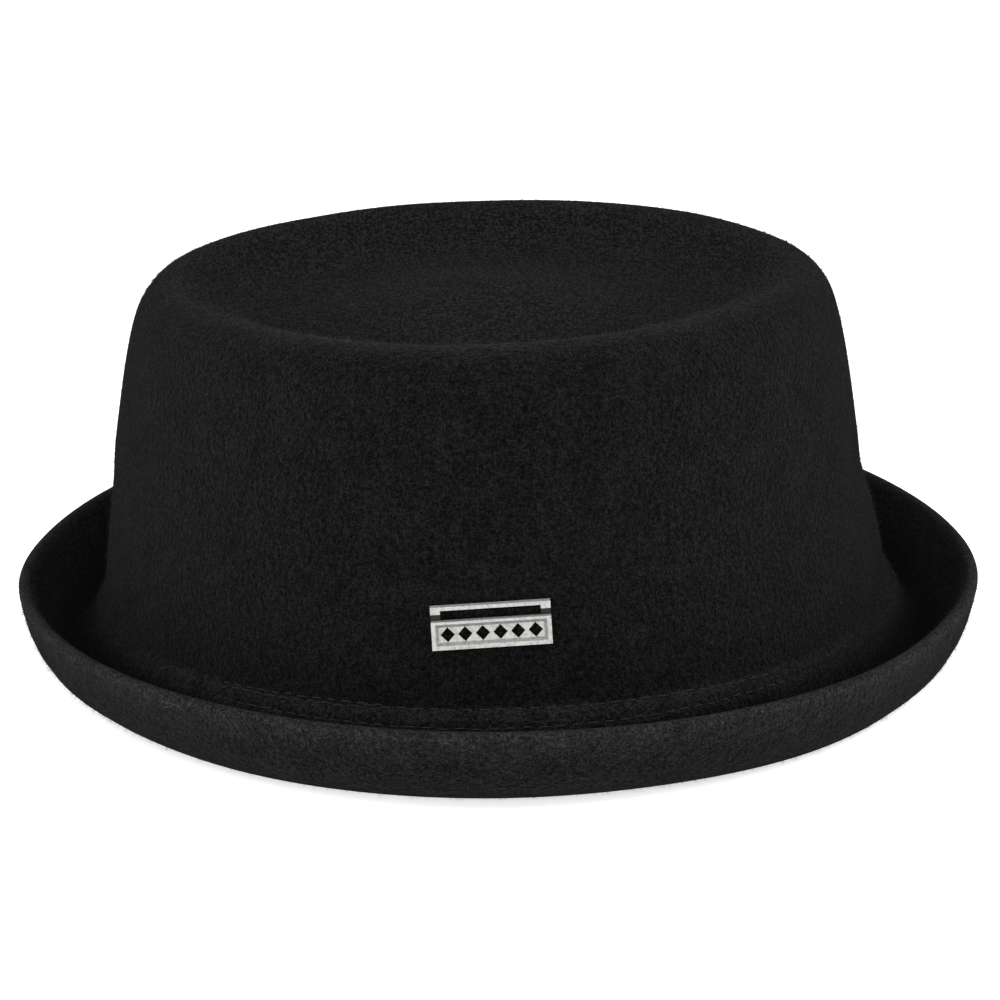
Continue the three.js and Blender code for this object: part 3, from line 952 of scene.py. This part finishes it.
def shadeLegs(piece):
    # the second material on the faces of the two legs, a dark metal for painted shade in their recess, told
    # by their place in the badge's own directions
    centre, across, up, _ = badgeAxes()
    middles = np.array([polygon.center for polygon in piece.data.polygons]) / mm - centre
    height, reach = middles @ up, np.abs(middles @ across)
    isLeg = (height > legs["bottom"]) & (height < legs["top"]) & (reach > legs["reach"])
    piece.data.polygons.foreach_set("material_index", isLeg.astype(np.int32))


badgePiece = softenedCopy("badge", "frontBadge", badge["edgeRadius"])
badgePiece.data.materials.append(makeBadgeMaterial())
# the legs' dark metal is painted shade
badgePiece.data.materials.append(cloudyMetal("legShadeMetal", legs))
shadeLegs(badgePiece)
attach(badgePiece, "root")
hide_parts("badge")


backingPiece = softenedCopy("badge_backing", "badgeBacking", badge["edgeRadius"])
backingPiece.data.materials.append(cloudyMetal("plainSteel", backing))
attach(backingPiece, "root")
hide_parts("badge_backing")
print("badge and backing made")


# Stage: a pale table, a white world and soft lights
white = (1.0, 1.0, 1.0)
warm = (1.0, 0.97, 0.88)
stage = {
    "floorSize": 12.0,             # metres
    "floorTone": (0.90, 0.90, 0.90),
    "floorRoughness": 0.9,
    "floorSpecular": 0.1,
    "floorGlow": 0.58,             # a lit table: evens out the white round the hat
    "worldStrength": 0.5,
    "lookHeight": 0.04,
    "lightDistance": 1.5,
    "lightWidth": 0.75,
    "lights": [
        # name, azimuth from the camera's side to the right, elevation, watts, tint
        ("frontBox", 0.0, 12.0, 7.5, white),
        ("nearLeftBox", -45.0, 12.0, 5.0, white),
        ("nearRightBox", 45.0, 12.0, 3.2, white),
        ("leftBox", -90.0, 30.0, 8.4, warm),
        ("rightBox", 90.0, 30.0, 12.5, warm),
        ("topBox", 0.0, 75.0, 4.0, white),
        ("backBox", 180.0, 25.0, 5.0, warm),
    ],
}


def makeFloor():
    half = stage["floorSize"] / 2
    corners = [(-half, -half, 0), (half, -half, 0), (half, half, 0), (-half, half, 0)]
    floor = addMesh("paleTable", np.array(corners), [(0, 1, 2, 3)], smooth=False)
    material, tree, shader = newMaterial("paleTable")
    setInput(shader, "Base Color", (*stage["floorTone"], 1.0))
    setInput(shader, "Roughness", stage["floorRoughness"])
    setInput(shader, "Specular IOR Level", stage["floorSpecular"])
    setInput(shader, "Emission Color", (*white, 1.0))
    setInput(shader, "Emission Strength", stage["floorGlow"])
    floor.data.materials.append(material)


def makeLights():
    world = bpy.data.worlds.new("studio")
    world.use_nodes = True
    background = world.node_tree.nodes["Background"]
    setInput(background, "Color", (*white, 1.0))
    setInput(background, "Strength", stage["worldStrength"])
    bpy.context.scene.world = world
    for name, azimuth, elevation, power, tint in stage["lights"]:
        lamp = bpy.data.lights.new(name, "AREA")
        lamp.shape = "SQUARE"
        lamp.size = stage["lightWidth"]
        lamp.energy = power
        lamp.color = tint
        turn, rise = math.radians(azimuth), math.radians(elevation)
        way = Vector((math.sin(turn) * math.cos(rise), -math.cos(turn) * math.cos(rise), math.sin(rise)))
        holder = bpy.data.objects.new(name, lamp)
        holder.location = way * stage["lightDistance"] + Vector((0.0, 0.0, stage["lookHeight"]))
        holder.rotation_euler = way.to_track_quat("Z", "Y").to_euler()
        bpy.context.scene.collection.objects.link(holder)


makeFloor()
makeLights()
bpy.context.scene.view_settings.view_transform = "Standard"
bpy.context.scene.view_settings.look = "None"
print("stage and lights made")
